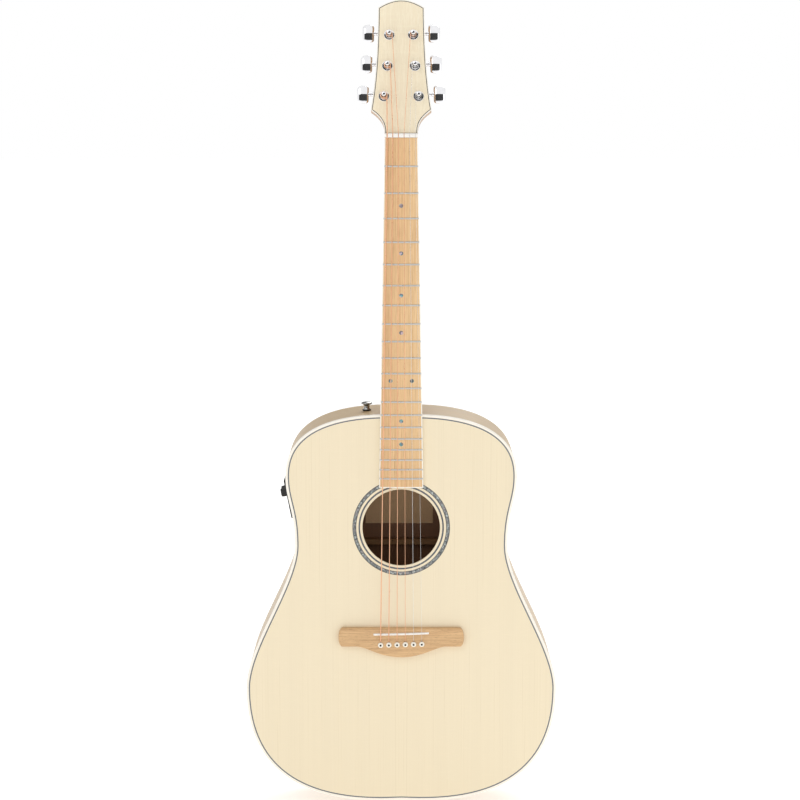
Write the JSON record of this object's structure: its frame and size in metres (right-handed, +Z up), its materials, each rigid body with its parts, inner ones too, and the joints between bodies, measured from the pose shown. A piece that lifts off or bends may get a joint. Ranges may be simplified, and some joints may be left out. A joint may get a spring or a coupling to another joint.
{
  "type": "acoustic guitar",
  "caption": "Steel-string acoustic guitar, dreadnought body with a pale top, pickup preamp on the side, pinned belly bridge, geared tuners that turn their posts.",
  "frame": {"origin": "on the centreline, in the plane where the fingerboard is glued to the neck, at the nut's end of the fingerboard, the zero of the scale; a hanger's yoke holds the neck just above it", "axes": "+Z up along the neck to the headstock, -Y out of the soundboard towards the player's audience, +X to the treble side"},
  "size_m": [0.415, 0.1324, 1.0785],
  "materials": {
    "spruce": "satin lacquer over straight fine grain",
    "veneer_wood": "satin lacquer",
    "side_wood": "gloss lacquer",
    "binding_plastic": "polished ivory",
    "rosette_shell": "polished shell inlay",
    "inner_wood": "bare",
    "board_wood": "oiled, open pores",
    "bone": "polished ivory",
    "pin_plastic": "polished ivory",
    "neck_wood": "satin lacquer",
    "rod_steel": "plain",
    "plain_steel": "bright drawn wire",
    "wound_bronze": "wound wire",
    "chrome": "polished",
    "black_plastic": "fine moulded grain"
  },
  "bodies": {
    "guitar": {"soundboard": "spruce", "rosette": "rosette_shell", "back_plate": "side_wood", "rib_treble": "side_wood", "rib_bass": "side_wood", "top_binding": "binding_plastic", "back_binding": "binding_plastic", "lining_front": "inner_wood", "lining_back": "inner_wood", "neck_block": "inner_wood", "tail_block": "inner_wood", "x_brace": "inner_wood", "bridge_plate": "inner_wood", "back_brace_1": "inner_wood", "back_brace_2": "inner_wood", "back_brace_3": "inner_wood", "bridge": "board_wood", "saddle": "bone", "bridge_pin_1": "pin_plastic", "bridge_pin_2": "pin_plastic", "bridge_pin_3": "pin_plastic", "bridge_pin_4": "pin_plastic", "bridge_pin_5": "pin_plastic", "bridge_pin_6": "pin_plastic", "neck": "neck_wood", "truss_rod": "rod_steel", "headstock_veneer": "veneer_wood", "fingerboard": "board_wood", "nut": "bone", "string_1": "plain_steel", "string_2": "plain_steel", "string_3": "wound_bronze", "string_4": "wound_bronze", "string_5": "wound_bronze", "string_6": "wound_bronze", "tuner_housing_1": "chrome", "tuner_housing_2": "chrome", "tuner_housing_3": "chrome", "tuner_housing_4": "chrome", "tuner_housing_5": "chrome", "tuner_housing_6": "chrome", "preamp_panel": "black_plastic", "strap_button": "chrome", "end_pin_jack": "chrome"},
    "post_1": {"tuner_post_1": "chrome"},
    "button_1": {"tuner_button_1": "chrome"},
    "post_2": {"tuner_post_2": "chrome"},
    "button_2": {"tuner_button_2": "chrome"},
    "post_3": {"tuner_post_3": "chrome"},
    "button_3": {"tuner_button_3": "chrome"},
    "post_4": {"tuner_post_4": "chrome"},
    "button_4": {"tuner_button_4": "chrome"},
    "post_5": {"tuner_post_5": "chrome"},
    "button_5": {"tuner_button_5": "chrome"},
    "post_6": {"tuner_post_6": "chrome"},
    "button_6": {"tuner_button_6": "chrome"},
    "volume_knob": {"volume_knob": "black_plastic"},
    "tone_knob": {"tone_knob": "black_plastic"},
    "tuner_switch": {"tuner_switch": "black_plastic"},
    "battery_tray": {"battery_tray": "black_plastic"}
  },
  "joints": [
    {"name": "button_1_turn", "type": "hinge", "parent": "guitar", "child": "button_1", "pos_m": [0.0421, 0.03396, 0.05496], "axis": [1, 0, 0], "continuous": true},
    {"name": "post_1_turn", "type": "hinge", "parent": "guitar", "child": "post_1", "pos_m": [0.0224, 0.02431, 0.04933], "axis": [0, -0.9703, 0.2419], "continuous": true},
    {"name": "button_2_turn", "type": "hinge", "parent": "guitar", "child": "button_2", "pos_m": [0.0376, 0.04369, 0.09397], "axis": [1, 0, 0], "continuous": true},
    {"name": "post_2_turn", "type": "hinge", "parent": "guitar", "child": "post_2", "pos_m": [0.0179, 0.03404, 0.08833], "axis": [0, -0.9703, 0.2419], "continuous": true},
    {"name": "button_3_turn", "type": "hinge", "parent": "guitar", "child": "button_3", "pos_m": [0.0352, 0.0536, 0.13375], "axis": [1, 0, 0], "continuous": true},
    {"name": "post_3_turn", "type": "hinge", "parent": "guitar", "child": "post_3", "pos_m": [0.0155, 0.04396, 0.12812], "axis": [0, -0.9703, 0.2419], "continuous": true},
    {"name": "button_4_turn", "type": "hinge", "parent": "guitar", "child": "button_4", "pos_m": [-0.0352, 0.0536, 0.13375], "axis": [-1, 0, 0], "continuous": true},
    {"name": "post_4_turn", "type": "hinge", "parent": "guitar", "child": "post_4", "pos_m": [-0.0155, 0.04396, 0.12812], "axis": [0, -0.9703, 0.2419], "continuous": true},
    {"name": "button_5_turn", "type": "hinge", "parent": "guitar", "child": "button_5", "pos_m": [-0.0376, 0.04369, 0.09397], "axis": [-1, 0, 0], "continuous": true},
    {"name": "post_5_turn", "type": "hinge", "parent": "guitar", "child": "post_5", "pos_m": [-0.0179, 0.03404, 0.08833], "axis": [0, -0.9703, 0.2419], "continuous": true},
    {"name": "button_6_turn", "type": "hinge", "parent": "guitar", "child": "button_6", "pos_m": [-0.0421, 0.03396, 0.05496], "axis": [-1, 0, 0], "continuous": true},
    {"name": "post_6_turn", "type": "hinge", "parent": "guitar", "child": "post_6", "pos_m": [-0.0224, 0.02431, 0.04933], "axis": [0, -0.9703, 0.2419], "continuous": true},
    {"name": "volume_knob_turn", "type": "hinge", "parent": "guitar", "child": "volume_knob", "pos_m": [-0.15072, 0.036, -0.46982], "axis": [-0.9807, 0, -0.1954], "range_deg": [-150, 150]},
    {"name": "tone_knob_turn", "type": "hinge", "parent": "guitar", "child": "tone_knob", "pos_m": [-0.15072, 0.055, -0.46982], "axis": [-0.9807, 0, -0.1954], "range_deg": [-150, 150]},
    {"name": "tuner_switch_press", "type": "slide", "parent": "guitar", "child": "tuner_switch", "axis": [0.9807, 0, 0.1954], "range_m": [0, 0.001], "stiffness_N_per_m": 300},
    {"name": "battery_tray_slide", "type": "slide", "parent": "guitar", "child": "battery_tray", "axis": [-0.9807, 0, -0.1954], "range_m": [0, 0.034]}
  ],
  "couplings": [
    {"joint": "post_1_turn", "follows": "button_1_turn", "ratio": -0.055556},
    {"joint": "post_2_turn", "follows": "button_2_turn", "ratio": -0.055556},
    {"joint": "post_3_turn", "follows": "button_3_turn", "ratio": -0.055556},
    {"joint": "post_4_turn", "follows": "button_4_turn", "ratio": 0.055556},
    {"joint": "post_5_turn", "follows": "button_5_turn", "ratio": 0.055556},
    {"joint": "post_6_turn", "follows": "button_6_turn", "ratio": 0.055556}
  ]
}
